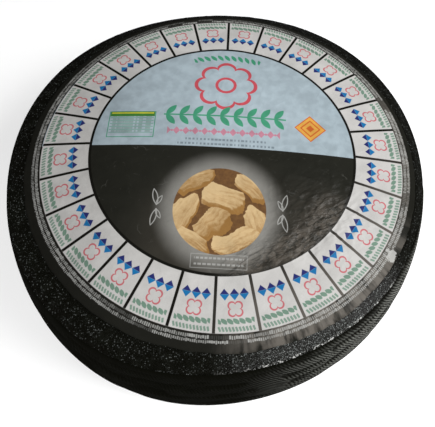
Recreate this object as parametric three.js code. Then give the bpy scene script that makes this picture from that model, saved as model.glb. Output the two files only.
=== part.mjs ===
// A whole wheel of asiago: a cheese in a black coated rind, with a round paper label on its top.
//
// Millimetres, +Z up. The wheel stands on its base at z = 0, with the middle of its bounding box
// on the Z axis. The side that faces -Y is the front.
//
// A real wheel isn't quite round: its outline swells and flattens a little, the lip round its top
// rises and dips, and its top sits slightly off its base. Both pieces are turned as true rounds
// first, and then one function pushes them out of true together, so that the label keeps lying
// on the cheese.

import * as THREE from 'three';

// Driving dimensions, in millimetres
const TOTAL_HEIGHT = 112.6; // from the base to the crown of the label
const BASE_RADIUS = 191.5; // what the side reaches at the base, before its edge is rounded
const LIP_RADIUS = 179.3; // the crisp edge between the top and the side
const LIP_DROP = 27.7; // how far the lip lies below the crown
const SIDE_BULGE = 4.2; // how far the side swells past a straight line from lip to base
const LIP_OVERHANG = 1.1; // how far the lip stands out over the groove under it
const LIP_THICKNESS = 2.4; // height of the lip, down to the groove
const BASE_EDGE_WIDTH = 14; // the rounded bottom edge, measured inwards
const BASE_EDGE_HEIGHT = 12; // and upwards
const DOME_RADIUS = 150; // the top is one even dome out to here
const DOME_DROP = 13.4; // and falls by this much over that radius
const LABEL_RADIUS = 163;
const LABEL_THICKNESS = 0.4;
const LABEL_GAP = 0.3; // between the cheese and the label
const LABEL_CENTRE = { x: -0.1, y: -2.9 }; // middle of the dome and of the label, seen from above
const LIP_CENTRE = { x: -3.7, y: -0.8 }; // middle of the lip; the base has its middle at 0, 0

// How far the wheel is out of true, by the number of waves round it
const OUTLINE_WAVES = [
  { count: 2, cosine: -0.65, sine: 3.95 },
  { count: 3, cosine: 0.73, sine: 1.21 },
  { count: 4, cosine: -1.03, sine: -0.77 },
];
const LIP_HEIGHT_WAVES = [
  { count: 1, cosine: -2.42, sine: -2.51 },
  { count: 2, cosine: 0.09, sine: -0.33 },
  { count: 3, cosine: -0.74, sine: 0.33 },
];

// How finely the forms are faceted
const SEGMENTS = 96; // round the wheel
const LABEL_RINGS = 7; // from the crown to the label's edge
const SHOULDER_RINGS = 5; // from the label's edge to the lip
const SIDE_RINGS = 8;
const BASE_EDGE_RINGS = 4;

const CHEESE_CROWN = TOTAL_HEIGHT - LABEL_THICKNESS - LABEL_GAP;
const LIP_HEIGHT = TOTAL_HEIGHT - LIP_DROP;

const sumOfWaves = (waves, angle) =>
  waves.reduce(
    (sum, { count, cosine, sine }) =>
      sum + cosine * Math.cos(count * angle) + sine * Math.sin(count * angle),
    0,
  );

// How far the top lies below the crown: an even dome, which turns down faster from DOME_RADIUS
// so that it meets the lip
function dropAt(radius) {
  const dome = DOME_DROP * (radius / DOME_RADIUS) ** 2;
  const domeAtLip = DOME_DROP * (LIP_RADIUS / DOME_RADIUS) ** 2;
  const intoShoulder = Math.max(0, (radius - DOME_RADIUS) / (LIP_RADIUS - DOME_RADIUS));
  return dome + (CHEESE_CROWN - LIP_HEIGHT - domeAtLip) * intoShoulder ** 2;
}

// Radius of the side, as a share of the way from the lip down to the base
function sideRadius(share) {
  const straight = THREE.MathUtils.lerp(LIP_RADIUS, BASE_RADIUS, share);
  return straight + 4 * SIDE_BULGE * share * (1 - share);
}

// Points of the dome under the label, from the crown outwards, as radius and height
function domePoints(crown) {
  const points = [];
  for (let ring = 0; ring <= LABEL_RINGS; ring += 1) {
    const radius = (LABEL_RADIUS * ring) / LABEL_RINGS;
    points.push(new THREE.Vector2(radius, crown - dropAt(radius)));
  }
  return points;
}

function shoulderPoints() {
  const points = [];
  for (let ring = 1; ring <= SHOULDER_RINGS; ring += 1) {
    const radius = THREE.MathUtils.lerp(LABEL_RADIUS, LIP_RADIUS, ring / SHOULDER_RINGS);
    points.push(new THREE.Vector2(radius, CHEESE_CROWN - dropAt(radius)));
  }
  return points;
}

// The groove under the lip, then the side down to where its bottom edge starts to round
function sidePoints() {
  const grooveShare = LIP_THICKNESS / LIP_HEIGHT;
  const lastShare = 1 - BASE_EDGE_HEIGHT / LIP_HEIGHT;
  const points = [
    new THREE.Vector2(sideRadius(grooveShare) - LIP_OVERHANG, LIP_HEIGHT - LIP_THICKNESS),
  ];
  for (let ring = 1; ring <= SIDE_RINGS; ring += 1) {
    const share = THREE.MathUtils.lerp(2 * grooveShare, lastShare, (ring - 1) / (SIDE_RINGS - 1));
    points.push(new THREE.Vector2(sideRadius(share), LIP_HEIGHT * (1 - share)));
  }
  return points;
}

// A quarter of an ellipse, from the side to the flat base, then the middle of the base
function basePoints() {
  const outerRadius = sideRadius(1 - BASE_EDGE_HEIGHT / LIP_HEIGHT);
  const points = [];
  for (let ring = 1; ring <= BASE_EDGE_RINGS; ring += 1) {
    const angle = ((Math.PI / 2) * ring) / BASE_EDGE_RINGS;
    const radius = outerRadius - BASE_EDGE_WIDTH * (1 - Math.cos(angle));
    points.push(new THREE.Vector2(radius, BASE_EDGE_HEIGHT * (1 - Math.sin(angle))));
  }
  points.push(new THREE.Vector2(0, 0));
  return points;
}

// Turns a profile, listed from the top of the axis outwards, round +Z
function turn(profile) {
  const geometry = new THREE.LatheGeometry([...profile].reverse(), SEGMENTS);
  return geometry.rotateX(Math.PI / 2);
}

// Pushes a turned form out of true. Inside the label's edge the top stays round, about the
// label's own middle. From there it eases into the uneven lip, and the side carries the lip's
// offset and its waves in height down to nothing at the base.
function pushOutOfTrue(geometry) {
  const places = geometry.getAttribute('position');
  for (let index = 0; index < places.count; index += 1) {
    const x = places.getX(index);
    const y = places.getY(index);
    const z = places.getZ(index);
    const radius = Math.hypot(x, y);
    const angle = Math.atan2(y, x);
    const onTop = z >= LIP_HEIGHT;
    const shoulder = THREE.MathUtils.smoothstep(radius, LABEL_RADIUS, LIP_RADIUS);
    const lipShare = onTop ? shoulder : z / LIP_HEIGHT;
    const inner = onTop ? LABEL_CENTRE : { x: 0, y: 0 };
    const outlineShare = onTop ? shoulder : 1;
    const stretch = 1 + (outlineShare * sumOfWaves(OUTLINE_WAVES, angle)) / BASE_RADIUS;
    places.setXYZ(
      index,
      THREE.MathUtils.lerp(inner.x, LIP_CENTRE.x, lipShare) + x * stretch,
      THREE.MathUtils.lerp(inner.y, LIP_CENTRE.y, lipShare) + y * stretch,
      z + lipShare * sumOfWaves(LIP_HEIGHT_WAVES, angle),
    );
  }
  geometry.computeVertexNormals();
  return geometry;
}

// The cheese itself, one solid
function makeWheel() {
  const profile = [
    ...domePoints(CHEESE_CROWN),
    ...shoulderPoints(),
    ...sidePoints(),
    ...basePoints(),
  ];
  const rind = new THREE.MeshStandardMaterial({ color: 0x14140f, roughness: 0.32, metalness: 0 });
  const wheel = new THREE.Mesh(pushOutOfTrue(turn(profile)), rind);
  wheel.name = 'cheese_wheel';
  return wheel;
}

// The label: its upper face, then back along the underside
function makeLabel() {
  const upper = domePoints(TOTAL_HEIGHT);
  const under = domePoints(TOTAL_HEIGHT - LABEL_THICKNESS);
  const paper = new THREE.MeshStandardMaterial({ color: 0x8e918c, roughness: 0.5, metalness: 0 });
  const label = new THREE.Mesh(pushOutOfTrue(turn([...upper, ...under.reverse()])), paper);
  label.name = 'paper_label';
  return label;
}

const asiago = new THREE.Group();
asiago.add(makeWheel(), makeLabel());

// The uneven outline isn't centred by itself, so the whole is moved until its box is
const middle = new THREE.Box3().setFromObject(asiago).getCenter(new THREE.Vector3());
asiago.position.set(-middle.x, -middle.y, 0);

export default asiago;
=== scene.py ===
"""A whole asiago cheese wheel: a black coated rind, and a printed paper label on its domed top.

Both pieces are turned from a profile as true rounds, pushed out of true by the waves that the
CAD solids have, and then given the relief that is too fine for the CAD. Lengths are millimetres
until they reach Blender, which works in metres.
"""

import logging
import math
from dataclasses import dataclass
from enum import Enum

import bpy
import numpy as np
from mathutils import Matrix, Vector


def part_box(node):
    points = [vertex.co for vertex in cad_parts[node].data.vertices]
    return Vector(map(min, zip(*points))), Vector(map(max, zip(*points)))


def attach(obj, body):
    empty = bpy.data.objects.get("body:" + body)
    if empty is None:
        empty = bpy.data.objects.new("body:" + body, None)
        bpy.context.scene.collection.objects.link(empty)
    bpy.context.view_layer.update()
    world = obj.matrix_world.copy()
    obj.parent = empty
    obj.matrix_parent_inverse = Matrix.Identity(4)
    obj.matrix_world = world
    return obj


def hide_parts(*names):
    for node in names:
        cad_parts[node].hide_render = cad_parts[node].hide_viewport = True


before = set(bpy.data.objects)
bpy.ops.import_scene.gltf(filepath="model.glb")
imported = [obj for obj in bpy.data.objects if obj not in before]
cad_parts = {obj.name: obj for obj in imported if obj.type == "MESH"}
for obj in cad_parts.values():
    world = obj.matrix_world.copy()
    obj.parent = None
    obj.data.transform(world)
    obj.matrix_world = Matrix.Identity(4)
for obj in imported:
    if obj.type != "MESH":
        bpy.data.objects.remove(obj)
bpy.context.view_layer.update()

LOG = logging.getLogger("asiago")
MM = 0.001
TURN = 2 * math.pi
BAKE_MAP = "OFBake"
DULL_SPECULAR = 0.0
SHINY_SPECULAR = 0.5

Colour = tuple[float, float, float]


class Slot(Enum):
    """The record's material slots."""

    RIND = "rind"
    LABEL = "label"


class Node(Enum):
    """The CAD nodes that the pieces stand for."""

    WHEEL = "cheese_wheel"
    LABEL = "paper_label"


class Zone(Enum):
    """Point attributes that tell the rind's finish where it is."""

    PEBBLED = "pebbled"
    RIBBED = "ribbed"
    GROOVE = "groove"
    LIP = "lip"
    FOLD = "fold"


# ---------------------------------------------------------------------------------------------
# Numbers
# ---------------------------------------------------------------------------------------------


def srgb(red: int, green: int, blue: int) -> Colour:
    """Turns a colour as seen on screen, 0 to 255, into the linear one that a shader takes."""
    parts = [part / 255 for part in (red, green, blue)]
    return tuple(part / 12.92 if part <= 0.04045 else ((part + 0.055) / 1.055) ** 2.4 for part in parts)


def smoothstep(value: np.ndarray, low: float, high: float) -> np.ndarray:
    """Eases a value from 0 at low to 1 at high, which may be the lesser of the two."""
    share = np.clip((value - low) / (high - low), 0, 1)
    return share * share * (3 - 2 * share)


def cell_noise(across: np.ndarray, along: np.ndarray, seed: int, wrap: int = 0) -> np.ndarray:
    """Smooth noise on a plane of unit cells.

    Args:
        across: Places on the first axis, in cells.
        along: Places on the second axis, in cells.
        seed: Which noise.
        wrap: After how many cells the first axis repeats. 0 for never.

    Returns:
        Noise from -1 to 1.
    """
    first = np.floor(across).astype(int)
    second = np.floor(along).astype(int)
    second_low = second.min()
    columns = wrap or int(np.ptp(first)) + 2
    first_low = 0 if wrap else first.min()
    knots = np.random.default_rng(seed).uniform(-1, 1, (columns, int(np.ptp(second)) + 2))
    ease_first = across - first
    ease_second = along - second
    ease_first = ease_first**3 * (ease_first * (6 * ease_first - 15) + 10)
    ease_second = ease_second**3 * (ease_second * (6 * ease_second - 15) + 10)
    left = (first - first_low) % columns
    right = (first - first_low + 1) % columns
    low = second - second_low
    near = knots[left, low] * (1 - ease_first) + knots[right, low] * ease_first
    far = knots[left, low + 1] * (1 - ease_first) + knots[right, low + 1] * ease_first
    return near * (1 - ease_second) + far * ease_second


# ---------------------------------------------------------------------------------------------
# Shader nodes
# ---------------------------------------------------------------------------------------------


class NodeDesk:
    """Makes one material's nodes."""

    def __init__(self, name: str) -> None:
        """Starts a material with an empty node tree.

        Args:
            name: The material's name.
        """
        self.material = bpy.data.materials.new(name)
        self.material.use_nodes = True
        self.tree = self.material.node_tree
        self.tree.nodes.clear()

    def node(self, kind: str, settings: dict | None = None, inputs: dict | None = None) -> bpy.types.Node:
        """Adds a node.

        Args:
            kind: The node's type.
            settings: Its properties, set first.
            inputs: Values or links by socket name or number.

        Returns:
            The node.
        """
        made = self.tree.nodes.new(kind)
        for name, value in (settings or {}).items():
            setattr(made, name, value)
        for name, value in (inputs or {}).items():
            socket = made.inputs[name]
            if isinstance(value, Socket):
                self.tree.links.new(value.out, socket)
            elif isinstance(value, bpy.types.NodeSocket):
                self.tree.links.new(value, socket)
            else:
                socket.default_value = value
        return made

    def value(self, kind: str, settings: dict | None = None, inputs: dict | None = None,
              output: str | int = 0) -> "Socket":
        """Adds a node, as node() does, and wraps the output of that name or number."""
        return Socket(self, self.node(kind, settings, inputs).outputs[output])

    def places(self) -> tuple["Socket", "Socket", "Socket", bpy.types.NodeSocket]:
        """Object coordinates, in millimetres.

        Returns:
            X, Y and Z, and the three as one vector.
        """
        coordinates = self.node("ShaderNodeTexCoord").outputs["Object"]
        inputs = {0: coordinates, "Scale": 1 / MM}
        scaled = self.node("ShaderNodeVectorMath", {"operation": "SCALE"}, inputs)
        parts = self.node("ShaderNodeSeparateXYZ", None, {0: scaled.outputs[0]})
        x, y, z = (Socket(self, output) for output in parts.outputs)
        return x, y, z, scaled.outputs[0]

    def vector(self, *parts: object) -> bpy.types.NodeSocket:
        """Joins up to three numbers or wrapped sockets to one vector."""
        return self.node("ShaderNodeCombineXYZ", None, dict(enumerate(parts))).outputs[0]

    def noise(self, vector: bpy.types.NodeSocket, size: float, detail: float = 2) -> "Socket":
        """Noise about 0, mostly from -0.5 to 0.5, with features of that size in millimetres."""
        inputs = {"Vector": vector, "Scale": 1 / size, "Detail": detail}
        return self.value("ShaderNodeTexNoise", None, inputs, "Fac") - 0.5

    def mix(self, share: "Socket", start: object, end: object) -> bpy.types.NodeSocket:
        """Mixes two colours.

        Args:
            share: How much of the second.
            start: The first, a colour or a link.
            end: The second, a colour or a link.

        Returns:
            The mixed colour.
        """
        inputs = {0: share}
        for socket, colour in ((6, start), (7, end)):
            inputs[socket] = (*colour, 1) if isinstance(colour, tuple) else colour
        return self.node("ShaderNodeMix", {"data_type": "RGBA"}, inputs).outputs[2]

    def tint(self, colour: bpy.types.NodeSocket, gain: "Socket") -> bpy.types.NodeSocket:
        """Makes a colour lighter or darker by a factor on each of its parts."""
        inputs = {0: colour, "Scale": gain}
        return self.node("ShaderNodeVectorMath", {"operation": "SCALE"}, inputs).outputs[0]

    def finish(self, colour: bpy.types.NodeSocket, roughness: "Socket", gloss: "Socket",
               height: "Socket") -> bpy.types.Material:
        """Joins a dull and a shiny shader to the output.

        Args:
            colour: What both show.
            roughness: Of both.
            gloss: How much of the shiny one shows.
            height: Relief in millimetres.

        Returns:
            The finished material.
        """
        bump = self.node("ShaderNodeBump", None, {"Strength": 1.0, "Distance": MM, "Height": height})
        layers = {0: gloss}
        for place, specular in enumerate((DULL_SPECULAR, SHINY_SPECULAR), 1):
            inputs = {"Base Color": colour, "Roughness": roughness, "Normal": bump.outputs[0]}
            shader = self.node("ShaderNodeBsdfPrincipled", None, inputs | {"Specular IOR Level": specular})
            layers[place] = shader.outputs[0]
        mixed = self.node("ShaderNodeMixShader", None, layers)
        self.node("ShaderNodeOutputMaterial", None, {"Surface": mixed.outputs[0]})
        return self.material


@dataclass(frozen=True)
class Socket:
    """A socket that Python's arithmetic works on."""

    desk: NodeDesk
    out: bpy.types.NodeSocket

    def math(self, operation: str, *others: object, clamp: bool = False) -> "Socket":
        """Adds a Math node on this value and the others. Its result may be clamped to 0 to 1."""
        return self.desk.value("ShaderNodeMath", {"operation": operation, "use_clamp": clamp},
                               dict(enumerate((self, *others))))

    def __add__(self, other: object) -> "Socket":
        """This value plus another."""
        return self.math("ADD", other)

    __radd__ = __add__

    def __sub__(self, other: object) -> "Socket":
        """This value less another."""
        return self.math("SUBTRACT", other)

    def __rsub__(self, other: float) -> "Socket":
        """A number less this value."""
        return self.desk.value("ShaderNodeMath", {"operation": "SUBTRACT"}, {0: other, 1: self})

    def __mul__(self, other: object) -> "Socket":
        """This value times another."""
        return self.math("MULTIPLY", other)

    __rmul__ = __mul__

    def __truediv__(self, other: object) -> "Socket":
        """This value over another."""
        return self.math("DIVIDE", other)

    def __pow__(self, other: float) -> "Socket":
        """This value to a power."""
        return self.math("POWER", other)

    def __abs__(self) -> "Socket":
        """This value without its sign."""
        return self.math("ABSOLUTE")

    def sin(self) -> "Socket":
        """The sine."""
        return self.math("SINE")

    def floor(self) -> "Socket":
        """The whole number below."""
        return self.math("FLOOR")

    def part(self) -> "Socket":
        """What is left above the whole number below."""
        return self.math("FRACT")

    def least(self, other: object) -> "Socket":
        """The lesser of this and another."""
        return self.math("MINIMUM", other)

    def most(self, other: object) -> "Socket":
        """The greater of this and another."""
        return self.math("MAXIMUM", other)

    def share(self, low: float, high: float) -> "Socket":
        """How far this value is from low to high, 0 to 1, eased. Low may be the greater."""
        straight = ((self - low) / (high - low)).math("ADD", 0, clamp=True)
        return straight * straight * (3 - 2 * straight)

    def speck(self) -> "Socket":
        """A number from 0 to 1 that is settled by this value alone."""
        return self.desk.value("ShaderNodeTexWhiteNoise", {"noise_dimensions": "1D"}, {"W": self}, "Value")


@dataclass(frozen=True)
class Board:
    """A drawing board with two axes in millimetres, on which shapes are cut as masks."""

    across: Socket
    up: Socket
    blur: float = 0.35

    def at(self, across: float, up: float) -> "Board":
        """The board with its middle moved to that place."""
        return Board(self.across - across, self.up - up, self.blur)

    def turned(self, degrees: float) -> "Board":
        """The board turned anticlockwise.

        Args:
            degrees: By how much.

        Returns:
            The turned board.
        """
        cosine = math.cos(math.radians(degrees))
        sine = math.sin(math.radians(degrees))
        across = self.across * cosine + self.up * sine
        return Board(across, self.up * cosine - self.across * sine, self.blur)

    def mirrored(self) -> "Board":
        """The board with its left half made like its right half."""
        return Board(abs(self.across), self.up, self.blur)

    def halved(self) -> "Board":
        """The board with its lower half made like its upper half."""
        return Board(self.across, abs(self.up), self.blur)

    def repeated(self, pitch: float, start: float = 0.5) -> "Board":
        """The board with one stretch of its first axis repeated. Start is its middle's share."""
        return Board(((self.across / pitch + start).part() - 0.5) * pitch, self.up, self.blur)

    def cut(self, inside: Socket) -> Socket:
        """A mask with a soft edge, from how far inside the shape places are, in millimetres."""
        return (inside / self.blur).math("ADD", 0.5, clamp=True)

    def box(self, width: float, height: float) -> Socket:
        """A rectangle's mask."""
        return self.cut((width / 2 - abs(self.across)).least(height / 2 - abs(self.up)))

    def outline(self, width: float, height: float, line: float) -> Socket:
        """The mask of a rectangle's outline."""
        inside = (width / 2 - abs(self.across)).least(height / 2 - abs(self.up))
        return self.cut(line / 2 - abs(inside))

    def away(self) -> Socket:
        """The distance from the middle."""
        return (self.across * self.across + self.up * self.up).math("SQRT")

    def towards(self, degrees: float, low: float, high: float) -> Socket:
        """How nearly places lie in a direction, by the cosine of the angle off it, 0 to 1."""
        return (self.turned(degrees).across / self.away()).share(low, high)

    def disc(self, radius: float) -> Socket:
        """A disc's mask."""
        return self.cut(radius - self.away())

    def ring(self, radius: float, line: float) -> Socket:
        """A ring's mask."""
        return self.cut(line / 2 - abs(self.away() - radius))

    def lozenge(self, width: float, height: float) -> Socket:
        """A lozenge's mask."""
        slope = width * height / 2 / math.hypot(width, height)
        return self.cut((1 - abs(self.across) * (2 / width) - abs(self.up) * (2 / height)) * slope)

    def chunk(self, length: float, width: float) -> Socket:
        """The mask of a bar with its corners cut off.

        Args:
            length: Along the first axis.
            width: Along the second.

        Returns:
            1 inside and 0 outside.
        """
        along = length / 2 - abs(self.across)
        over = width / 2 - abs(self.up)
        return self.cut(along.least(over).least(along * 0.8 + over * 0.6 - width * 0.24))

    def leaf(self, length: float, width: float) -> Socket:
        """The mask of a leaf that points along the first axis.

        Args:
            length: From tip to tip.
            width: Where it is widest.

        Returns:
            1 inside and 0 outside.
        """
        radius = (length**2 + width**2) / (4 * width)
        folded = Board(self.across, abs(self.up) + (radius - width / 2), self.blur)
        return self.cut(radius - folded.away())

    def flower(self, petals: int, radius: float, depth: float, line: float) -> Socket:
        """The mask of a flower's outline.

        Args:
            petals: How many.
            radius: Out to the petals' tips.
            depth: How far the outline comes in between petals, as a share of the radius.
            line: Width of the outline.

        Returns:
            1 on the outline and 0 elsewhere.
        """
        angle = self.up.math("ARCTAN2", self.across)
        lobe = abs((angle * (petals / 2)).sin()) ** 0.6
        outline = (lobe * depth + (1 - depth)) * (radius - line / 2)
        return self.cut(line / 2 - abs(self.away() - outline))


# ---------------------------------------------------------------------------------------------
# The form that both pieces share
# ---------------------------------------------------------------------------------------------


@dataclass(frozen=True)
class WheelForm:
    """The wheel's sizes, which are the CAD's, and how it is out of true."""

    total_height: float = 112.6
    base_radius: float = 191.5
    lip_radius: float = 179.3
    lip_drop: float = 27.7
    side_bulge: float = 4.2
    lip_thickness: float = 2.4
    base_edge_width: float = 14
    base_edge_height: float = 12
    dome_radius: float = 150
    dome_drop: float = 13.4
    label_radius: float = 163
    label_thickness: float = 0.4
    label_gap: float = 0.3
    label_centre: tuple[float, float] = (-0.1, -2.9)
    lip_centre: tuple[float, float] = (-3.7, -0.8)
    outline_waves: tuple = ((2, -0.65, 3.95), (3, 0.73, 1.21), (4, -1.03, -0.77))
    lip_height_waves: tuple = ((1, -2.42, -2.51), (2, 0.09, -0.33), (3, -0.74, 0.33))

    @property
    def cheese_crown(self) -> float:
        """Height of the cheese under the label."""
        return self.total_height - self.label_thickness - self.label_gap

    @property
    def lip_height(self) -> float:
        """Height of the lip before it is pushed out of true."""
        return self.total_height - self.lip_drop

    def drop_at(self, radius: np.ndarray) -> np.ndarray:
        """How far the top lies below the crown.

        Args:
            radius: Distances from the axis.

        Returns:
            The drop at each.
        """
        dome = self.dome_drop * (radius / self.dome_radius) ** 2
        dome_at_lip = self.dome_drop * (self.lip_radius / self.dome_radius) ** 2
        into = np.maximum(0, (radius - self.dome_radius) / (self.lip_radius - self.dome_radius))
        return dome + (self.cheese_crown - self.lip_height - dome_at_lip) * into**2

    def side_radius(self, share: np.ndarray) -> np.ndarray:
        """Radius of the side at each share of the way down from the lip to the base."""
        straight = self.lip_radius + (self.base_radius - self.lip_radius) * share
        return straight + 4 * self.side_bulge * share * (1 - share)

    @staticmethod
    def waves(waves: tuple, angle: np.ndarray) -> np.ndarray:
        """Sum at each angle of waves, given by their count, cosine part and sine part."""
        parts = ((count * angle, cosine, sine) for count, cosine, sine in waves)
        return sum(cosine * np.cos(phase) + sine * np.sin(phase) for phase, cosine, sine in parts)

    def push_out_of_true(self, points: np.ndarray) -> np.ndarray:
        """Moves points of a true round as the CAD does.

        Args:
            points: One row of x, y and z for each.

        Returns:
            The moved points.
        """
        x, y, z = points.T
        radius = np.hypot(x, y)
        angle = np.arctan2(y, x)
        on_top = z >= self.lip_height
        shoulder = smoothstep(radius, self.label_radius, self.lip_radius)
        lip_share = np.where(on_top, shoulder, z / self.lip_height)
        outline_share = np.where(on_top, shoulder, 1)
        stretch = 1 + outline_share * self.waves(self.outline_waves, angle) / self.base_radius
        moved = []
        for axis, flat in enumerate((x, y)):
            inner = np.where(on_top, self.label_centre[axis], 0)
            moved.append(inner + (self.lip_centre[axis] - inner) * lip_share + flat * stretch)
        return np.stack([*moved, z + lip_share * self.waves(self.lip_height_waves, angle)], -1)


# ---------------------------------------------------------------------------------------------
# Turning
# ---------------------------------------------------------------------------------------------


def deselect_all() -> None:
    """Leaves nothing selected."""
    for thing in bpy.context.selected_objects:
        thing.select_set(False)


def turned_round(name: str, profile: np.ndarray, segments: int) -> bpy.types.Object:
    """Turns a profile round the Z axis.

    Args:
        name: The new object's name.
        profile: Radius and height of each point, from the top of the axis outwards.
        segments: Steps in a whole turn.

    Returns:
        The turned object, with its doubles merged and its faces outwards.
    """
    deselect_all()
    start = Vector((profile[0][0], 0, profile[0][1])) * MM
    bpy.ops.mesh.primitive_plane_add(size=MM, location=start)
    piece = bpy.context.object
    piece.name = name
    piece.data.name = name
    bpy.ops.object.mode_set(mode="EDIT")
    bpy.ops.mesh.merge(type="CENTER")
    for before, after in zip(profile[:-1], profile[1:]):
        step = (after - before) * MM
        bpy.ops.mesh.extrude_region_move(TRANSFORM_OT_translate={"value": (step[0], 0, step[1])})
    bpy.ops.object.mode_set(mode="OBJECT")
    bpy.ops.object.transform_apply(location=True, rotation=True, scale=True)
    screw = piece.modifiers.new("turn", "SCREW")
    screw.steps = segments
    screw.render_steps = segments
    screw.use_merge_vertices = True
    bpy.ops.object.modifier_apply(modifier=screw.name)
    bpy.ops.object.mode_set(mode="EDIT")
    bpy.ops.mesh.select_all(action="SELECT")
    bpy.ops.mesh.remove_doubles(threshold=0.01 * MM)
    bpy.ops.mesh.normals_make_consistent(inside=False)
    bpy.ops.object.mode_set(mode="OBJECT")
    bpy.ops.object.shade_smooth()
    return piece


def vectors_of(items: bpy.types.bpy_prop_collection, name: str) -> np.ndarray:
    """Reads a property of three numbers from each item of a mesh's collection.

    Args:
        items: The collection.
        name: The property.

    Returns:
        One row for each item.
    """
    flat = np.empty(len(items) * 3)
    items.foreach_get(name, flat)
    return flat.reshape(-1, 3)


def points_of(piece: bpy.types.Object) -> np.ndarray:
    """A piece's vertices, in millimetres."""
    return vectors_of(piece.data.vertices, "co") / MM


def normals_of(piece: bpy.types.Object) -> np.ndarray:
    """The unit normals of a piece's vertices."""
    return vectors_of(piece.data.vertex_normals, "vector")


def set_points(piece: bpy.types.Object, points: np.ndarray) -> None:
    """Moves a piece's vertices to places in millimetres."""
    piece.data.vertices.foreach_set("co", (points * MM).ravel())
    piece.data.update()


def set_attribute(piece: bpy.types.Object, name: str, values: np.ndarray) -> None:
    """Gives a piece a named number on each vertex."""
    attribute = piece.data.attributes.new(name, "FLOAT", "POINT")
    attribute.data.foreach_set("value", values.astype(np.float32))


def radii_of(points: np.ndarray) -> np.ndarray:
    """Distances of points from the Z axis."""
    return np.hypot(points[:, 0], points[:, 1])


def turns_of(points: np.ndarray) -> np.ndarray:
    """Where points are round the Z axis, as shares of a turn."""
    return (np.arctan2(points[:, 1], points[:, 0]) / TURN) % 1


def corners_of(piece: bpy.types.Object) -> tuple[np.ndarray, np.ndarray]:
    """Which vertex and which face each corner of a mesh belongs to.

    Args:
        piece: The piece.

    Returns:
        Vertex numbers and face numbers.
    """
    vertices = np.empty(len(piece.data.loops), int)
    piece.data.loops.foreach_get("vertex_index", vertices)
    sizes = np.empty(len(piece.data.polygons), int)
    piece.data.polygons.foreach_get("loop_total", sizes)
    return vertices, np.repeat(np.arange(len(sizes)), sizes)


def face_means(values: np.ndarray, vertices: np.ndarray, faces: np.ndarray) -> np.ndarray:
    """Means for each face of what the vertices at its corners have."""
    return np.bincount(faces, values[vertices]) / np.bincount(faces)


def set_bake_map(piece: bpy.types.Object, uv: np.ndarray) -> None:
    """Gives a piece the map that its finish is baked on, as two numbers for each corner."""
    layer = piece.data.uv_layers.new(name=BAKE_MAP)
    layer.uv.foreach_set("vector", uv.astype(np.float32).ravel())


def hand_over(piece: bpy.types.Object, node: Node, finish: bpy.types.Material) -> None:
    """Dresses a piece and puts it in its CAD node's stead.

    Args:
        piece: The piece.
        node: The node it stands for.
        finish: Its material.
    """
    piece.data.materials.clear()
    piece.data.materials.append(finish)
    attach(piece, "root")
    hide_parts(node.value)
    LOG.info("%s: %d faces", piece.name, len(piece.data.polygons))


def label_middle() -> np.ndarray:
    """Where the CAD's frame has the label's middle, as x and y in millimetres."""
    low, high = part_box(Node.LABEL.value)
    return np.array((low + high) / 2 / MM)[:2]


def seat(form: WheelForm) -> np.ndarray:
    """Where the CAD's frame has the middle of the wheel's own axes, in millimetres."""
    return np.array([*(label_middle() - form.label_centre), 0])


# ---------------------------------------------------------------------------------------------
# Rind
# ---------------------------------------------------------------------------------------------


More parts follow.
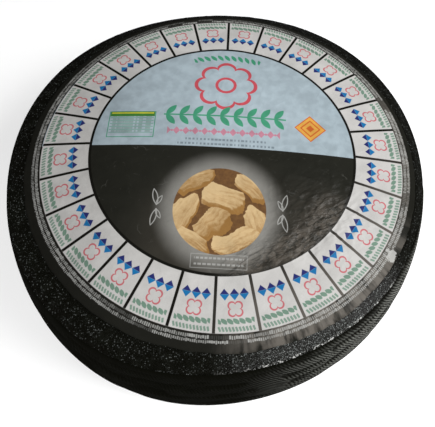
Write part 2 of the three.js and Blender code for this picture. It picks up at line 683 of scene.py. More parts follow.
@dataclass(frozen=True)
class BlackCoating:
    """The black coating: pebbled on the shoulder, ribbed on the side, dimpled underneath.

    Here and there it is a little worn. Towards the front right, where the light falls, the shoulder
    is glossier, and highlights are painted on: pale specks on the pebbles' tips, grey on the ribs'
    tops and white glints along the lip.
    """

    black: Colour = srgb(9, 9, 6)
    worn: Colour = srgb(20, 21, 17)
    # Painted highlight: the pale specks on the pebbles' tips.
    tip: Colour = srgb(112, 116, 114)
    # Painted highlight: grey on the ribs' tops on the side towards the light.
    crest_highlight: Colour = srgb(158, 160, 152)
    # Painted highlight: white glints along the lip.
    glint: Colour = srgb(236, 236, 232)
    roughness: float = 0.16
    base_gloss: float = 0.008
    pebble_gloss: float = 0.012
    polished_gloss: float = 0.33
    side_gloss: float = 0.05
    # Directions towards the light: round the first the shoulder is glossier and specks and glints are
    # painted on it; round the second the side is glossier and its ribs carry painted highlights.
    polished_and_lit_way: float = -60
    lit_side_way: float = -25
    pebble_size: float = 1.15
    pebble_height: float = 0.6
    dimple_size: float = 3.5
    dimple_height: float = 0.5
    rib_count: int = 396
    rib_lean: float = 1.55
    rib_height: float = 0.5
    rib_drift: float = 7
    cross_rib_count: int = 331
    cross_rib_height: float = 0.08
    # Shares of the painted highlights on the ribs' tops and on the lip, and how far the folds' hollows
    # take down the rib highlights, as painted shade, and the side's gloss.
    crest_highlight_share: float = 0.37
    glint_share: float = 0.75
    fold_shade: float = 0.8

    def material(self) -> bpy.types.Material:
        """Builds the material.

        Returns:
            The finished material.
        """
        desk = NodeDesk("black_coating")
        x, y, z, place = desk.places()
        pebbled, ribbed, groove, lip, fold = (
            desk.value("ShaderNodeAttribute", {"attribute_name": zone.value}, None, "Fac") for zone in Zone
        )
        around = Board(x, y)
        flicker = desk.noise(place, 1.5)
        patches = desk.noise(place, 9, 3)
        # Windows towards the light, which raise the gloss and carry the painted highlights.
        polished_and_lit = around.towards(self.polished_and_lit_way, 0.85, 0.99)
        lit_side = around.towards(self.lit_side_way, 0.5, 1.0) * 0.98 + 0.02
        # Painted shade: in the folds' hollows the ribs' painted highlights and the side's gloss are taken
        # down.
        raised = 1 - fold * self.fold_shade
        pebbles, tips = self._pebbles(desk, place, patches, polished_and_lit)
        ribs = self._ribs(y.math("ARCTAN2", x), z, desk.noise(place, 26), patches)
        dimples = desk.noise(place, self.dimple_size, 4) * self.dimple_height
        height = pebbles * pebbled + ribs * ribbed + dimples * (1 - pebbled) * (1 - ribbed)
        height = height + flicker * (pebbled * 0.75 + 0.12)
        # Painted highlights: grey on the ribs' tops towards the light, kept out of the folds' hollows.
        crest_highlights = (ribs * (2 / self.rib_height)).share(-0.8, 1.1) * (patches + 0.2).share(-0.2, 0.25)
        crest_highlights = crest_highlights * raised * ribbed * lit_side
        worn = (patches + 0.12).share(0.05, 0.35) * (pebbled * 0.4 + 0.1)
        # Painted highlights: white glints along the lip towards the light.
        glints = lip * polished_and_lit * (flicker * 2 + patches * 1.5).share(0.0, 0.55)
        colour = desk.mix(worn, self.black, self.worn)
        # Painted highlights over the wear: specks on the pebbles, grey on the ribs' tops, glints on the
        # lip.
        colour = desk.mix(tips * pebbled, colour, self.tip)
        colour = desk.mix(crest_highlights * self.crest_highlight_share, colour, self.crest_highlight)
        colour = desk.mix(glints * self.glint_share, colour, self.glint)
        gloss = pebbled * polished_and_lit * self.polished_gloss + ribbed * lit_side * raised * self.side_gloss
        gloss = (gloss + pebbled * self.pebble_gloss + self.base_gloss) * (1 - groove * 0.9)
        return desk.finish(colour, flicker * 0.12 + patches * 0.1 + self.roughness, gloss, height)

    def _pebbles(self, desk: NodeDesk, place: bpy.types.NodeSocket, patches: Socket,
                 polished_and_lit: Socket) -> tuple[Socket, Socket]:
        """The shoulder's pebbles, with painted highlights as pale specks on some of their tips.

        Args:
            desk: The material's nodes.
            place: Object coordinates in millimetres.
            patches: Slow noise, which makes them uneven.
            polished_and_lit: Towards the light, where more of the painted specks go.

        Returns:
            Their height in millimetres, and the mask of the painted highlight specks on the tips.
        """
        cells = {"Vector": place, "Scale": 1 / self.pebble_size, "Randomness": 1.0}
        cell = desk.node("ShaderNodeTexVoronoi", {"feature": "F1"}, cells)
        away = Socket(desk, cell.outputs["Distance"])
        dome = (1 - away * away * 1.5).most(0)
        luck = desk.value("ShaderNodeSeparateXYZ", None, {0: cell.outputs["Color"]})
        luck = luck + polished_and_lit * 0.36 + patches * 0.4 - 0.11
        # Painted highlights: pale specks at the tops of some pebbles, more of them towards the light.
        tips = away.share(0.55, 0.2) * luck.share(0.5, 1.15) * (polished_and_lit * 0.18 + 0.6)
        return dome * self.pebble_height * (patches * 0.9 + 0.75), tips

    def _ribs(self, angle: Socket, height: Socket, drift: Socket, patches: Socket) -> Socket:
        """Height of the side's slanted ribs and of the fainter set that crosses them.

        Args:
            angle: Round the wheel, in radians.
            height: Above the base, in millimetres.
            drift: Slow noise, which bends them.
            patches: Finer noise, which weakens them here and there.

        Returns:
            Millimetres.
        """
        lean = height * self.rib_lean
        bend = drift * self.rib_drift
        ribs = (angle * self.rib_count + lean + bend).sin()
        crossing = (angle * self.cross_rib_count - lean + bend).sin()
        strength = (patches + 0.75).most(0.2)
        return ribs * (self.rib_height / 2) * strength + crossing * (self.cross_rib_height / 2)


@dataclass
class Rind:
    """The cheese in its coating: domed top, pebbled shoulder, lip, groove, ribbed side, base."""

    form: WheelForm
    segments: int = 720
    inset: float = 0.15
    hidden_radii: tuple[float, ...] = (0, 8, 25, 50, 80, 110, 135, 148, 154)
    shoulder_start: float = 158
    shoulder_rows: int = 25
    channel_depth: float = 0.5
    channel_width: float = 1.3
    channel_from_lip: float = 3.4
    lip_round: float = 0.7
    lip_sink: float = 0.1
    lip_degrees: tuple[float, ...] = (62, 40, 15, -10, -35)
    groove_rows: tuple[float, ...] = (0.6, 1.0, 1.6, 2.2, 2.7)
    groove_depths: tuple[float, ...] = (1.32, 2.2, 1.54, 0.66, 0.132)
    side_start: float = 3.1
    side_rows: int = 58
    base_edge_rows: int = 12
    base_shares: tuple[float, ...] = (0.97, 0.9, 0.75, 0.5, 0.25, 0.08, 0)
    pebble_pitch: float = 3.6
    pebble_depth: float = 0.35
    lump_depth: float = 0.3
    tooth_pitch: float = 3.4
    tooth_depth: float = 0.5
    bend_depth: float = 0.35
    wrinkle_depth: float = 2.3

    def profile(self) -> np.ndarray:
        """The profile, from the top of the axis out, down and back to the axis.

        Returns:
            Radius and height of each point.
        """
        form = self.form
        seen = np.linspace(self.shoulder_start, form.lip_radius - self.lip_round, self.shoulder_rows)
        radii = np.concatenate([self.hidden_radii, seen])
        from_channel = (radii - form.lip_radius + self.channel_from_lip) / self.channel_width
        channel = self.channel_depth * np.exp(-(from_channel**2))
        top = np.stack([radii, form.cheese_crown - form.drop_at(radii) - channel], -1)
        turn = np.radians(self.lip_degrees)
        lip_height = form.lip_height - self.lip_sink - self.lip_round
        lip_middle = np.array([form.lip_radius - self.lip_round, lip_height])
        lip = lip_middle + self.lip_round * np.stack([np.cos(turn), np.sin(turn)], -1)
        row = form.lip_thickness / form.lip_height
        share = np.array(self.groove_rows) * row
        groove_radii = form.side_radius(share) - np.array(self.groove_depths)
        groove = np.stack([groove_radii, form.lip_height * (1 - share)], -1)
        last = 1 - form.base_edge_height / form.lip_height
        share = np.linspace(self.side_start * row, last, self.side_rows)
        side = np.stack([form.side_radius(share), form.lip_height * (1 - share)], -1)
        turn = np.linspace(0, math.pi / 2, self.base_edge_rows + 1)[1:]
        edge_radii = form.side_radius(last) - form.base_edge_width * (1 - np.cos(turn))
        edge = np.stack([edge_radii, form.base_edge_height * (1 - np.sin(turn))], -1)
        inner = edge_radii[-1] * np.array(self.base_shares)
        base = np.stack([inner, inner * 0], -1)
        return np.concatenate([top, lip, groove, side, edge, base])

    def build(self) -> bpy.types.Object:
        """Builds the piece.

        Returns:
            The rind.
        """
        piece = turned_round("rind", self.profile(), self.segments)
        round_points = points_of(piece)
        true = self.form.push_out_of_true(round_points)
        set_points(piece, true)
        above_base = round_points[:, 2] > 1
        depth = self.relief(round_points) + self.inset * above_base
        moved = true - normals_of(piece) * depth[:, None]
        moved[:, 2] = np.maximum(moved[:, 2], 0)
        set_points(piece, moved + seat(self.form))
        self.mark_zones(piece, round_points)
        self.unfold(piece, round_points)
        hand_over(piece, Node.WHEEL, BlackCoating().material())
        return piece

    def zones(self, points: np.ndarray) -> tuple[np.ndarray, ...]:
        """How far each point is on the shoulder, on the side, in the groove and on the lip.

        Args:
            points: Points of the true round.

        Returns:
            Four shares, 0 to 1, for each point.
        """
        form = self.form
        radius = radii_of(points)
        under_lip = form.lip_height - points[:, 2]
        shoulder = smoothstep(under_lip, 1.6, 0.6)
        side = smoothstep(under_lip, 3.8, 5.6) * smoothstep(points[:, 2], 0.5, 5)
        side = side * smoothstep(radius, form.base_radius - 13, form.base_radius - 6)
        groove = smoothstep(under_lip, 0.8, 1.5) * smoothstep(under_lip, 5.4, 3.8)
        lip = smoothstep(radius, form.lip_radius - 2, form.lip_radius - 1) * shoulder
        return shoulder, side, groove, lip

    def relief(self, points: np.ndarray) -> np.ndarray:
        """How deep the relief goes in at each point.

        Args:
            points: Points of the true round.

        Returns:
            Millimetres.
        """
        turns = turns_of(points)
        radius = radii_of(points)
        height = points[:, 2]
        shoulder, side, _, lip = self.zones(points)

        def uneven(width: float, tall: float, along: np.ndarray, seed: int) -> np.ndarray:
            """Noise from 0 to 1, with features so wide round the wheel and so tall along the profile."""
            return self.noise_round(turns, width, tall, along, seed) * 0.5 + 0.5

        pebbles = uneven(self.pebble_pitch, self.pebble_pitch, radius, 11)
        lumps = uneven(13, 9, radius, 12)
        teeth = uneven(self.tooth_pitch, 50, radius, 16)
        bends = uneven(70, 40, height, 15)
        beyond_label = smoothstep(radius, self.shoulder_start - 1, self.form.label_radius - 1)
        on_shoulder = shoulder * beyond_label
        depth = on_shoulder * (self.pebble_depth * pebbles + self.lump_depth * lumps)
        depth = depth + lip * self.tooth_depth * teeth
        depth = depth + self.bend_depth * bends * np.maximum(side, on_shoulder)
        shallower = 0.25 + 0.75 * smoothstep(height, 14, 34)
        return depth + side * shallower * self.wrinkle_depth * self.hollows(points)

    def noise_round(self, turns: np.ndarray, width: float, tall: float, along: np.ndarray,
                    seed: int) -> np.ndarray:
        """Noise from -1 to 1 that closes up round the wheel, with features so wide and tall."""
        cells = round(TURN * self.form.lip_radius / width)
        return cell_noise(turns * cells, along / tall, seed, cells)

    def hollows(self, points: np.ndarray) -> np.ndarray:
        """The lens-shaped hollows between the folds of the side.

        Args:
            points: Points of the true round.

        Returns:
            How far into a hollow each point is, from 0 to 1.
        """
        turns = turns_of(points)
        height = points[:, 2]
        turns = (turns + 0.006 * self.noise_round(turns, 24, 8, height, 18)) % 1
        rising = height + 3.5 * np.sin(turns * TURN * 6)
        falling = height - 3 * np.sin(turns * TURN * 8 + 1)
        long = self.noise_round(turns, 30, 7, rising, 45)
        short = self.noise_round(turns, 19, 5.5, falling, 65)
        small = self.noise_round(turns, 9, 3, rising, 17)
        return np.clip((long + short * 0.8 + small * 0.3) * 0.95 + 0.1, 0, 1)

    def mark_zones(self, piece: bpy.types.Object, points: np.ndarray) -> None:
        """Stores the zones for the finish.

        Args:
            piece: The rind.
            points: Its points as a true round.
        """
        folds = smoothstep(self.hollows(points), 0.12, 0.6)
        for zone, values in zip(Zone, (*self.zones(points), folds)):
            set_attribute(piece, zone.value, values)

    def unfold(self, piece: bpy.types.Object, points: np.ndarray) -> None:
        """Lays the surface out flat: three bands of the shoulder and side, and two discs.

        Args:
            piece: The rind.
            points: Its points as a true round.
        """
        form = self.form
        scale = 0.0021
        bands = 3
        band_height = 0.28
        band_corner = (0.01, 0.005)
        disc_size = 0.15
        top_place = (0.3, 0.92)
        base_place = (0.1, 0.92)
        vertices, faces = corners_of(piece)
        radius = radii_of(points)
        height = points[:, 2]
        turns = turns_of(points)
        centre = turn_of_face(turns, vertices, faces)
        turn = turns[vertices]
        turn = turn - np.round(turn - centre[faces])
        band = np.minimum((centre * bands).astype(int), bands - 1)[faces]
        across = (turn - band / bands) * TURN * form.lip_radius * scale
        up = band * band_height + self._way_down(radius, height)[vertices] * scale
        uv = np.stack([across, up], -1) + band_corner
        flat = points[vertices][:, :2] / form.base_radius * disc_size / 2
        face_radius = face_means(radius, vertices, faces)
        face_height = face_means(height, vertices, faces)
        under_label = face_radius < self.shoulder_start - 1
        top = (under_label & (face_height > form.lip_height))[faces]
        base = ((face_height < 0.01) & (face_radius < form.base_radius))[faces]
        uv[top] = flat[top] + top_place
        uv[base] = flat[base] + base_place
        set_bake_map(piece, uv)

    def _way_down(self, radius: np.ndarray, height: np.ndarray) -> np.ndarray:
        """Length along the profile from the start of the shoulder.

        Args:
            radius: Of each point.
            height: Of each point.

        Returns:
            Millimetres, 0 for points before the start.
        """
        line = self.profile()
        lengths = np.concatenate([[0], np.cumsum(np.hypot(*np.diff(line, axis=0).T))])
        row = np.hypot(radius[:, None] - line[:, 0], height[:, None] - line[:, 1]).argmin(1)
        return np.maximum(lengths[row] - lengths[len(self.hidden_radii)], 0)


def turn_of_face(turns: np.ndarray, vertices: np.ndarray, faces: np.ndarray) -> np.ndarray:
    """Where each face is round the wheel.

    Args:
        turns: Where each vertex is, as a share of a turn.
        vertices: The vertex of each corner.
        faces: The face of each corner.

    Returns:
        A share of a turn for each face.
    """
    cosine = face_means(np.cos(turns * TURN), vertices, faces)
    sine = face_means(np.sin(turns * TURN), vertices, faces)
    return (np.arctan2(sine, cosine) / TURN) % 1


# ---------------------------------------------------------------------------------------------
# Label
# ---------------------------------------------------------------------------------------------


class Sheet:
    """The label's paper under print: axes, lit side with painted sheen, crumpled ring and the colour on it
    so far.
    """

    def __init__(self, desk: NodeDesk, centre: tuple[float, float], ground: Colour) -> None:
        """Lays out the axes.

        Args:
            desk: The material's nodes.
            centre: The paper's middle, in millimetres.
            ground: The colour that is there first.
        """
        x, y, _, self.place = desk.places()
        self.desk = desk
        self.colour = ground
        self.face = Board(x - centre[0], y - centre[1])
        self.radius = self.face.away()
        self.angle = self.face.up.math("ARCTAN2", self.face.across) * (360 / TURN)
        # The front right, towards the light, where sheen is painted on the margin and the paper is
        # glossier.
        self.lit_side = self.face.towards(-54, 0.78, 0.99) * self.radius.share(100, 135)
        ring = self.radius.share(78, 98) * self.radius.share(112, 108)
        self.crumpled = self.face.towards(-56, 0.8, 0.93) * ring
        slanting = self.face.turned(33)
        self.drawn_out = desk.vector(slanting.across * 0.42, slanting.up)

    def ink(self, mask: Socket, colour: object) -> None:
        """Prints a colour, or a link to one, over what is there, as thickly as the mask says."""
        self.colour = self.desk.mix(mask, self.colour, colour)

    def noise(self, size: float, detail: float = 2) -> Socket:
        """Noise about 0 on the paper."""
        return self.desk.noise(self.place, size, detail)

    def creases(self, size: float, detail: float, width: float) -> Socket:
        """The mask of long slanting creases, that far apart, from a share of their noise."""
        return abs(self.desk.noise(self.drawn_out, size, detail)).share(0.0, width)


@dataclass(frozen=True)
class PrintedPaper:
    """The label's paper, printed in a generic design: panels round a pale and a dark half.

    Each row of chunks is one broken piece in the heap, as across, up, turn, length, width and tone,
    from the lowest piece to the uppermost.
    """

    centre: tuple[float, float]
    paper: Colour = srgb(206, 204, 201)
    margin: Colour = srgb(35, 35, 31)
    # Painted sheen on dark print where it catches the light: the margin and the panels' dividing lines.
    sheen_grey: Colour = srgb(112, 107, 100)
    # Painted sheen on the crinkled and crumpled dark half.
    crease_sheen: Colour = srgb(104, 97, 88)
    scratched: Colour = srgb(96, 96, 90)
    slate: Colour = srgb(40, 40, 35)
    sky: Colour = srgb(171, 186, 194)
    haze: Colour = srgb(176, 174, 168)
    line_black: Colour = srgb(26, 26, 22)
    navy: Colour = srgb(45, 52, 112)
    blue: Colour = srgb(36, 118, 175)
    red: Colour = srgb(200, 84, 94)
    pink: Colour = srgb(196, 120, 140)
    green: Colour = srgb(72, 152, 118)
    pale_green: Colour = srgb(104, 140, 120)
    grass: Colour = srgb(70, 130, 60)
    lemon: Colour = srgb(196, 196, 70)
    grey: Colour = srgb(110, 122, 130)
    white: Colour = srgb(196, 196, 192)
    gold: Colour = srgb(226, 168, 80)
    rust: Colour = srgb(206, 104, 52)
    crumb: Colour = srgb(222, 192, 144)
    crumb_shade: Colour = srgb(162, 120, 68)
    crust: Colour = srgb(106, 76, 52)
    chunks: tuple = (
        (-3, -11, 42, 34, 18, 0.0),
        (-22, 26, 18, 36, 20, 0.05),
        (26, 21, -48, 34, 19, 0.1),
        (-27, -4, 66, 34, 19, 0.2),
        (29, -13, 98, 34, 17, 0.05),
        (3, 9, -20, 38, 21, 0.3),
        (-21, -27, -30, 34, 18, 0.15),
        (13, -25, 24, 36, 19, 0.3),
    )
    roughness: float = 0.3
    darkening: float = 0.555
    panels: int = 28
    first_line: float = 102.97
    line_width: float = 2.3
    inner_circle: float = 109
    panel_start: float = 110
    panel_end: float = 150.5
    middle_line: float = -2.0
    off_centre_way: float = -140
    heap_up: float = -58
    heap_radius: float = 36

    def material(self) -> bpy.types.Material:
        """Builds the material.

        Returns:
            The finished material.
        """
        desk = NodeDesk("printed_paper")
        sheet = Sheet(desk, self.centre, self.sky)
        face = sheet.face
        sheet.ink(face.cut(self.middle_line - face.up), self.slate)
        self._dark_half(sheet)
        self._pale_half(sheet)
        self._panels(sheet)
        self._margin(sheet)
        mottle = sheet.noise(14, 4)
        grain = sheet.noise(0.8, 3)
        blotches = sheet.noise(7, 1).share(-0.16, 0.16) - 0.5
        blotches = blotches * face.cut(face.up - self.middle_line) * sheet.radius.share(110, 108)
        # Painted light and shade: the paper is darker on the far left, away from the light, and lighter
        # towards the back and round a place behind and right of the middle.
        lighter = face.up.share(-100, 140) * 0.05 - face.across.share(-50, -110) * 0.11
        lighter = lighter + face.at(15, 35).away().share(75, 20) * 0.07
        gain = mottle * 0.24 + grain * 0.05 + blotches * 0.045 + lighter + self.darkening
        roughness = mottle * 0.15 + grain * 0.1 + self.roughness
        height = mottle * 0.35 + grain * 0.03 + self._crinkles(sheet)
        crease_sheen = face.at(76, -55).away().share(58, 25) * 0.13 + sheet.crumpled * 0.19
        gloss = (sheet.lit_side * 0.1).most(crease_sheen)
        return desk.finish(desk.tint(sheet.colour, gain), roughness, gloss, height)

    @staticmethod
    def _crinkles(sheet: Sheet) -> Socket:
        """Fine creases in the right of the dark half.

        Args:
            sheet: The paper under print.

        Returns:
            Millimetres.
        """
        ridges = 0.5 - abs(sheet.desk.noise(sheet.drawn_out, 11, 3)) * 2
        sharp = 0.5 - abs(sheet.desk.noise(sheet.drawn_out, 8, 4)) * 3
        where = sheet.face.at(76, -60).away().share(64, 15)
        scratches = (0.06 - abs(sheet.noise(22, 5))).most(0) * 1.6
        return ridges * where * 1.5 + sharp * sheet.crumpled * 2.6 + scratches

    def _panels(self, sheet: Sheet) -> None:
        """Prints the ring of paper panels, each with a generic ornament.

        Args:
            sheet: The paper under print.
        """
        radius = sheet.radius
        share = ((sheet.angle - self.first_line) / (360 / self.panels)).part() - 0.5
        width = radius * (TURN / self.panels)
        panel = Board(share * width, radius)
        ring = panel.cut((radius - self.panel_start).least(self.panel_end - radius))
        sheet.ink(ring, self.paper)
        lozenges = panel.at(0, 123.2)
        row = lozenges.repeated(7.2).lozenge(7, 8.6) * lozenges.box(21.6, 9)
        outer = lozenges.cut(lozenges.up + 0.2)
        sheet.ink(row * (1 - outer), self.navy)
        sheet.ink(row * outer, self.blue)
        sheet.ink(panel.at(0, 133.6).flower(4, 6.6, 0.45, 1.3) * 0.85, self.red)
        sprig = panel.at(0, 142.2)
        leaves = sprig.repeated(4.4).turned(34).leaf(6.6, 3.2) * sprig.box(26.4, 9)
        seam = panel.at(0, 147.6)
        stitches = seam.repeated(2.5).turned(-20).box(1.6, 3.4) * seam.box(27.5, 4)
        sheet.ink(leaves.most(stitches * 0.9) * 0.9, self.pale_green)
        spoke = panel.cut(self.line_width / 2 - (0.5 - abs(share)) * width)
        front_right = sheet.angle + 48
        # Painted sheen: towards the front right the dividing lines turn grey where they catch the light.
        lit_side = front_right.share(-50, -25) * front_right.share(60, 25) * radius.share(100, 140)
        sheet.ink(spoke * ring, sheet.desk.mix(lit_side * 0.75, self.line_black, self.sheen_grey))

    def _margin(self, sheet: Sheet) -> None:
        """Prints the black inner circle, and the dark margin with its painted sheen and its two rows of
        white dashes.

        Args:
            sheet: The paper under print.
        """
        desk, face, radius, angle = sheet.desk, sheet.face, sheet.radius, sheet.angle
        circle = face.ring(self.inner_circle, 2.2) * (1 - sheet.crumpled * 0.8)
        sheet.ink(circle, self.line_black)
        streaks = desk.noise(desk.vector(angle * 3.6, radius * 0.3), 5, 6) * 0.8
        streaks = streaks + desk.noise(desk.vector(angle * 1.2, radius * 0.25), 5, 3) * 0.9
        # Painted sheen: grey streaks on the margin at the front right, where it catches the light.
        margin_sheen = sheet.lit_side * (streaks + 0.05).share(-0.15, 0.17)
        rim = radius - face.turned(self.off_centre_way).across / radius * 0.8 + 0.1
        sheet.ink(face.cut(rim - self.panel_end), desk.mix(margin_sheen, self.margin, self.sheen_grey))
        # Painted sheen: a paler streaky band along the right of the margin.
        right_sheen = face.cut(3.2 - abs(rim - 154)) * face.across.share(115, 150)
        sheet.ink(right_sheen * (streaks + 0.5) * 0.9, self.sheen_grey)
        for row_radius, count, height, fade in ((152.9, 605, 1.9, 0.0), (156.0, 641, 1.5, 0.6)):
            steps = angle * (count / 360)
            luck = steps.floor().speck()
            other_luck = (steps.floor() + 0.5).speck()
            inside = (0.5 - abs(steps.part() - 0.5)) - (0.3 - luck * 0.3)
            tall = height / 2 + other_luck * 0.45 - abs(rim - row_radius + (luck - 0.5) * 0.5)
            dash = face.cut((inside * (TURN * row_radius / count)).least(tall))
            group = (angle * (count / 360 / 9)).floor().speck()
            strength = (group * 0.3 + 0.45) * (group.share(0.02, 0.06) * 0.85 + 0.15)
            sheet.ink(dash * strength * (1 - face.up.share(60, 150) * fade), self.white)
        torn = face.at(133.5, -83).turned(35)
        sheet.ink(torn.cut(4.2 - torn.away() + sheet.noise(4, 3) * 12) * 0.8, self.white)

    def _pale_half(self, sheet: Sheet) -> None:
        """Prints the pale half: leaves, a flower, a sprig, beads, dashes, a table and a lozenge.

        Args:
            sheet: The paper under print.
        """
        face = sheet.face
        arc_radius = 98
        arc = Board((sheet.angle - 90) * (math.radians(1) * arc_radius), sheet.radius - arc_radius)
        sheet.ink(arc.repeated(6).turned(55).leaf(8.6, 3.6) * arc.box(60, 12), self.green)
        flower = face.at(0, 64)
        sheet.ink(flower.turned(22.5).flower(8, 27.5, 0.22, 3.2), self.red)
        sheet.ink(flower.ring(8, 2.6), self.red)
        sprig = face.at(0.5, 29.5)
        leaves = sprig.repeated(11.4).halved().at(0, 5).turned(52).leaf(13, 5.4) * sprig.box(102.6, 24)
        sheet.ink(leaves.most(sprig.box(103, 1.5)), self.green)
        row = face.at(0, 13)
        beads = row.repeated(7.8).lozenge(6, 7.6).most(row.repeated(7.8, 0).disc(1.1))
        sheet.ink(beads * row.box(93.6, 12) * 0.85, self.pink)
        for up, length in ((5, 66), (0.6, 82)):
            line = face.at(2, up)
            steps = line.across / 3.1
            dash = line.cut((0.42 - abs(steps.part() - 0.5)) * 3.1 - steps.floor().speck() * 0.9)
            sheet.ink(dash * line.box(length, 2) * 0.75, self.grey)
        self._table(sheet)
        seal = face.at(72.5, 23)
        for step, size in enumerate((27, 24.6, 17.5, 14.5, 7)):
            sheet.ink(seal.lozenge(size, size), (self.rust, self.gold)[step % 2])

    def _table(self, sheet: Sheet) -> None:
        """Prints a small ruled table with a green and yellow header.

        Args:
            sheet: The paper under print.
        """
        table = sheet.face.at(-77.5, 19)
        sheet.ink(table.outline(39, 26, 0.7), self.green)
        rows = Board(table.up - 0.5, table.across).repeated(3.1)
        sheet.ink(table.cut(0.35 - abs(rows.across)) * table.box(37, 18) * 0.7, self.green)
        steps = table.across / 1.5
        marks = (steps.floor() + (rows.up / 3.1).floor() * 41).speck().share(0.25, 0.5) * 0.5
        marks = marks * table.cut(0.75 - abs(abs(rows.across) - 1.4)) * table.box(34, 17)
        sheet.ink(marks, self.pale_green)
        sheet.ink(table.at(0, 10.6).box(38, 5), self.grass)
        sheet.ink(table.at(0, 11.6).box(36, 1.6), self.lemon)

    def _dark_half(self, sheet: Sheet) -> None:
        """Prints the dark half: painted sheen on its creases and front, scratches, a heap in a pale
        haze, outlined leaves, a small box.

        Args:
            sheet: The paper under print.
        """
        face = sheet.face
        below = face.cut(self.middle_line - 1 - face.up)
        # Painted sheen: the crumpled ring, the crinkled right and the front of the dark half are paler
        # where they catch the light, with painted shade left in the crease lines.
        faint = sheet.creases(9, 3, 0.06) * 0.65 + 0.35
        crease_lines = sheet.creases(10, 4, 0.035) * 0.8 + 0.2
        crease_sheen = face.at(70, -76).away().share(62, 15) * faint * 0.21
        crumpled = sheet.crumpled * crease_lines * (sheet.noise(7, 3) + 0.3).share(-0.1, 0.5) * 0.8
        lighter = face.at(5, -95).away().share(95, 40) * 0.2
        sheet.ink(crease_sheen.most(lighter).most(crumpled) * below, self.crease_sheen)
        long = abs(sheet.noise(20, 3)).share(0.012, 0.0) * sheet.noise(12, 1).share(0.05, 0.2)
        short = abs(sheet.noise(9)).share(0.01, 0.0) * sheet.noise(5, 1).share(0.08, 0.25)
        sheet.ink(long.most(short * 0.7) * below * 0.5, self.scratched)
        heap = face.at(0, self.heap_up)
        sheet.ink(heap.at(0, -0.8).away().share(54.5, 35) * 0.6 * below, self.haze)
        leaves = face.mirrored().at(49.5, -57.5).halved()
        long_leaf = leaves.at(0.8, 8.4).turned(76)
        short_leaf = leaves.at(-2.4, 5.6).turned(118)
        strokes = long_leaf.leaf(15, 4.6) - long_leaf.leaf(12.6, 3)
        strokes = strokes.most(short_leaf.leaf(9.6, 3.4) - short_leaf.leaf(7.6, 2))
        sheet.ink(strokes * 0.7, self.white)
        box = face.at(1.5, -99)
        upper_row = box.at(0, 2.3).repeated(3.2).box(2.3, 1.5)
        dashes = upper_row.most(box.at(0, -2.3).repeated(3.6).box(2.7, 1.5))
        small = (dashes * box.box(37, 8)).most(box.outline(42, 10.5, 0.6) * 0.7)
        sheet.ink(small * 0.6, self.white)
        sheet.ink(heap.disc(self.heap_radius), self._heap(sheet, heap))

    def _heap(self, sheet: Sheet, board: Board) -> bpy.types.NodeSocket:
        """A heap of golden broken pieces on brown.

        Args:
            sheet: The paper under print.
            board: Axes about the middle of the heap.

        Returns:
            Their colour.
        """
        desk = sheet.desk
        jagged = sheet.noise(4.5, 4) * 3.5
        bent_across = board.across + sheet.noise(26, 1) * 15 + jagged
        bent_up = board.up + sheet.noise(21, 1) * 15 - jagged
        rough = Board(bent_across, bent_up)
        soft = Board(bent_across, bent_up, 1.2)
        fibre = sheet.noise(3, 5)
        colour = desk.mix((fibre + 0.1).share(-0.2, 0.4) * 0.3, self.crust, self.crumb_shade)
        for across, up, turn, length, width, tone in self.chunks:
            piece = rough.at(across, up).turned(turn)
            threads = desk.noise(desk.vector(piece.across / 14, piece.up / 2.2, tone * 9), 1, 4)
            slope = (board.up - up) * 0.018 - (board.across - across) * 0.014
            lit_face = soft.at(across - 0.8, up + 3.2).turned(turn).chunk(length, width)
            light = (threads * 1.3 + fibre * 0.5 + slope + tone + lit_face * 0.5).share(0.0, 1.1)
            shaded = desk.mix(light, self.crumb_shade, self.crumb)
            colour = desk.mix(piece.chunk(length, width), colour, shaded)
        return colour


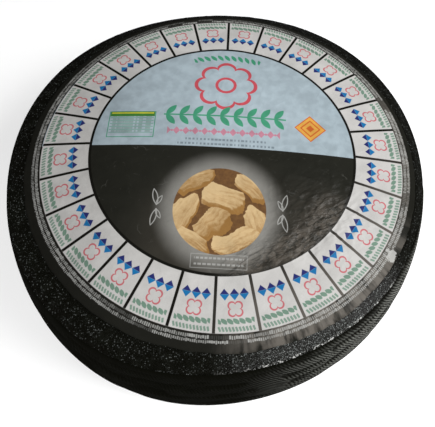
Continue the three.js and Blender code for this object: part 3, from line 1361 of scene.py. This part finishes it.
@dataclass
class PaperLabel:
    """The round label: a thin sheet that follows the dome, with creases and an uneven edge."""

    form: WheelForm
    segments: int = 640
    rings: int = 118
    under_shares: tuple[float, ...] = (1, 0.99, 0.9, 0.6, 0.3, 0)
    edge_width: float = 12
    edge_unevenness: float = 0.9
    off_centre: tuple[float, float] = (-1.6, -1.35)
    tuck: float = 0.25
    sink: float = 0.02
    swell_height: float = 0.3
    crinkle_height: float = 1.0
    faint_height: float = 0.12
    margin_crease_height: float = 0.9

    def profile(self) -> np.ndarray:
        """The profile, from the crown to the edge and back along the underside.

        Returns:
            Radius and height of each point.
        """
        form = self.form
        radii = np.linspace(0, form.label_radius, self.rings + 1)
        upper = np.stack([radii, form.total_height - form.drop_at(radii)], -1)
        radii = form.label_radius * np.array(self.under_shares)
        under_crown = form.total_height - form.label_thickness
        under = np.stack([radii, under_crown - form.drop_at(radii)], -1)
        return np.concatenate([upper, under])

    def build(self) -> bpy.types.Object:
        """Builds the piece.

        Returns:
            The label.
        """
        piece = turned_round("printed_label", self.profile(), self.segments)
        points = points_of(piece)
        form = self.form
        radius = radii_of(points)
        above = points[:, 2] > form.total_height - form.label_thickness / 2 - form.drop_at(radius)
        self.unfold(piece, points, above)
        moved = points.copy()
        near_edge = smoothstep(radius, form.label_radius - self.edge_width, form.label_radius)
        moved[:, :2] *= (1 + self.edge_shift(points) * near_edge / form.label_radius)[:, None]
        moved[:, 2] += form.drop_at(radius) - form.drop_at(radii_of(moved))
        moved[:, 2] += self.lift(points) * above - self.tuck * near_edge**4 - self.sink
        set_points(piece, form.push_out_of_true(moved) + seat(form))
        hand_over(piece, Node.LABEL, PrintedPaper(tuple(label_middle())).material())
        return piece

    def edge_shift(self, points: np.ndarray) -> np.ndarray:
        """How far the edge lies out from its true place: it is ragged and off centre.

        Args:
            points: Points of the true round.

        Returns:
            Millimetres, for the edge in the direction of each point.
        """
        turns = turns_of(points)
        coarse = cell_noise(turns * 40, turns * 0, 21, 40)
        fine = cell_noise(turns * 170, turns * 0, 22, 170)
        aside = (points[:, :2] @ np.array(self.off_centre)) / self.form.label_radius
        return self.edge_unevenness * (coarse * 0.6 + fine * 0.4 - 0.5) + aside

    def lift(self, points: np.ndarray) -> np.ndarray:
        """How far the creases lift the sheet.

        Args:
            points: Points of the true round.

        Returns:
            Millimetres.
        """
        edge = self.form.label_radius
        x, y, _ = points.T
        radius = radii_of(points)
        turns = turns_of(points)
        swells = (cell_noise(x / 24, y / 24, 31) * 0.5 + 0.5) * self.swell_height
        folds = 1 - np.abs(cell_noise(x / 7 + cell_noise(x / 15, y / 15, 33), y / 11, 32)) * 2
        at_right = smoothstep(-np.hypot(x - 78, y + 52), -62, -18)
        crinkles = np.clip(folds, 0, 1) ** 2 * at_right * self.crinkle_height
        small = 1 - np.abs(cell_noise(x / 9, y / 9, 34)) * 2
        faint = np.clip(small, 0, 1) ** 3 * self.faint_height
        in_margin = smoothstep(radius, edge - 16, edge - 2)
        degrees = np.degrees(np.arctan2(y, x))
        front_right = smoothstep(-np.abs(degrees + 50), -48, -25)
        creases = (cell_noise(turns * 150, radius / 9, 35, 150) * 0.5 + 0.5) * self.margin_crease_height
        lifted = swells + crinkles + faint + creases * in_margin * front_right
        return lifted * smoothstep(radius, 6, 40)

    def unfold(self, piece: bpy.types.Object, points: np.ndarray, above: np.ndarray) -> None:
        """Lays the upper face flat over the whole map, and the underside small in a corner.

        Args:
            piece: The label.
            points: Its points as a true round.
            above: Which of them are on the upper face.
        """
        upper_size = 0.488
        rim_size = 0.494
        under_size = 0.05
        under_place = 0.06
        vertices, faces = corners_of(piece)
        flat = points[vertices][:, :2] / self.form.label_radius
        uv = flat * np.where(above[vertices], upper_size, rim_size)[:, None] + 0.5
        under = face_means(above, vertices, faces)[faces] < 0.01
        uv[under] = flat[under] * under_size + under_place
        set_bake_map(piece, uv)


# ---------------------------------------------------------------------------------------------
# Studio
# ---------------------------------------------------------------------------------------------


@dataclass(frozen=True)
class Lamp:
    """A soft square lamp that points at the wheel."""

    name: str
    place: tuple[float, float, float]
    size: float
    watts: float
    aim: tuple[float, float, float] = (0, 0, 0.09)

    def hang(self) -> None:
        """Adds the lamp."""
        light = bpy.data.lights.new(self.name, "AREA")
        light.shape = "SQUARE"
        light.size = self.size
        light.energy = self.watts
        lamp = bpy.data.objects.new(self.name, light)
        lamp.location = self.place
        towards = Vector(self.aim) - Vector(self.place)
        lamp.rotation_euler = towards.to_track_quat("-Z", "Y").to_euler()
        bpy.context.scene.collection.objects.link(lamp)


@dataclass(frozen=True)
class Studio:
    """The pale floor, the soft light and the camera where the photographer's was."""

    camera_place: tuple[float, float, float] = (-0.2, -237.09, 462.91)
    camera_yaw: float = 0.478
    camera_tilt: float = 26.325
    camera_roll: float = 2.582
    lens: float = 42.53
    sensor: float = 36
    floor_size: float = 12
    floor_colour: Colour = (0.9, 0.9, 0.9)
    world_light: float = 0.12
    lamps: tuple[Lamp, ...] = (
        Lamp("key_lamp", (0.96, -0.10, 0.72), 1.0, 19),
        Lamp("fill_lamp", (-0.35, -1.0, 1.7), 1.2, 40),
    )

    def build(self) -> None:
        """Sets up everything round the wheel."""
        self._floor()
        self._camera()
        for lamp in self.lamps:
            lamp.hang()
        world = bpy.data.worlds.new("studio")
        world.use_nodes = True
        background = world.node_tree.nodes["Background"]
        background.inputs["Color"].default_value = (1, 1, 1, 1)
        background.inputs["Strength"].default_value = self.world_light
        bpy.context.scene.world = world
        bpy.context.scene.view_settings.view_transform = "Standard"

    def _floor(self) -> None:
        """Adds the floor, a wide plate with its top at the height of the base."""
        deselect_all()
        bpy.ops.mesh.primitive_plane_add(size=self.floor_size, location=(0, 0, 0))
        floor = bpy.context.object
        floor.name = "floor"
        bpy.ops.object.transform_apply(location=True, rotation=True, scale=True)
        desk = NodeDesk("pale_floor")
        inputs = {"Base Color": (*self.floor_colour, 1), "Roughness": 0.9, "Specular IOR Level": 0.1}
        shader = desk.node("ShaderNodeBsdfPrincipled", None, inputs)
        desk.node("ShaderNodeOutputMaterial", None, {"Surface": shader.outputs[0]})
        floor.data.materials.append(desk.material)

    def _camera(self) -> None:
        """Adds the camera and makes it the scene's."""
        data = bpy.data.cameras.new("camera")
        data.sensor_fit = "HORIZONTAL"
        data.sensor_width = self.sensor
        data.lens = self.lens
        data.clip_start = 0.01
        camera = bpy.data.objects.new("camera", data)
        turn = Matrix.Rotation(math.radians(self.camera_yaw), 4, "Z")
        tilt = Matrix.Rotation(math.radians(self.camera_tilt), 4, "X")
        roll = Matrix.Rotation(math.radians(self.camera_roll), 4, "Z")
        place = Matrix.Translation(Vector(self.camera_place) * MM)
        camera.matrix_world = place @ turn @ tilt @ roll
        bpy.context.scene.collection.objects.link(camera)
        bpy.context.scene.camera = camera


def main() -> None:
    """Builds the wheel and the studio, and writes how big the result is."""
    logging.basicConfig(level=logging.INFO, format="%(name)s: %(message)s")
    Studio().build()
    form = WheelForm()
    Rind(form).build()
    PaperLabel(form).build()


if __name__ == "__main__":
    main()
